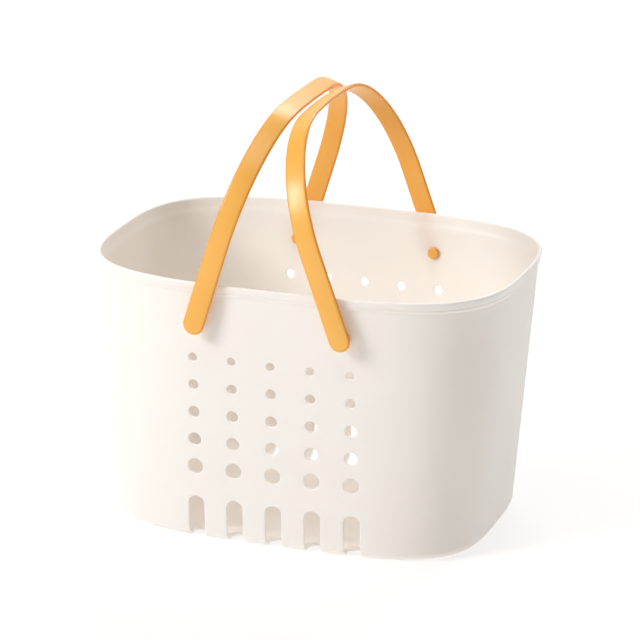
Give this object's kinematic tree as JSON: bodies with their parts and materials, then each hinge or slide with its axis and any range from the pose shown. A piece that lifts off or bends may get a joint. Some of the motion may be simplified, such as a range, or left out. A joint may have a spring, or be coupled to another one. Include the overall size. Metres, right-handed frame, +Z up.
{
  "type": "shower caddy basket",
  "caption": "Oval plastic bath and shower basket with drain holes in its long walls and two strap handles that lean together for carrying and fold out over the ends.",
  "frame": {"origin": "middle of the flat underside, which rests on the shelf or floor", "axes": "+Z up, +X along the basket's long side, towards the right handle's pivots, and the front at -Y"},
  "size_m": [0.2898, 0.2208, 0.2931],
  "materials": {
    "basket_plastic": "fine satin moulded ivory",
    "handle_plastic": "satin moulded orange"
  },
  "bodies": {
    "basket": {"basket_body": "basket_plastic"},
    "left_handle": {"left_handle": "handle_plastic", "left_front_rivet": "handle_plastic", "left_back_rivet": "handle_plastic"},
    "right_handle": {"right_handle": "handle_plastic", "right_front_rivet": "handle_plastic", "right_back_rivet": "handle_plastic"}
  },
  "joints": [
    {"name": "left_handle_swing", "type": "hinge", "parent": "basket", "child": "left_handle", "pos_m": [-0.0502, 0, 0.1575], "axis": [0, -1, 0], "range_deg": [0, 155]},
    {"name": "right_handle_swing", "type": "hinge", "parent": "basket", "child": "right_handle", "pos_m": [0.0502, 0, 0.1575], "axis": [0, 1, 0], "range_deg": [0, 158]}
  ]
}
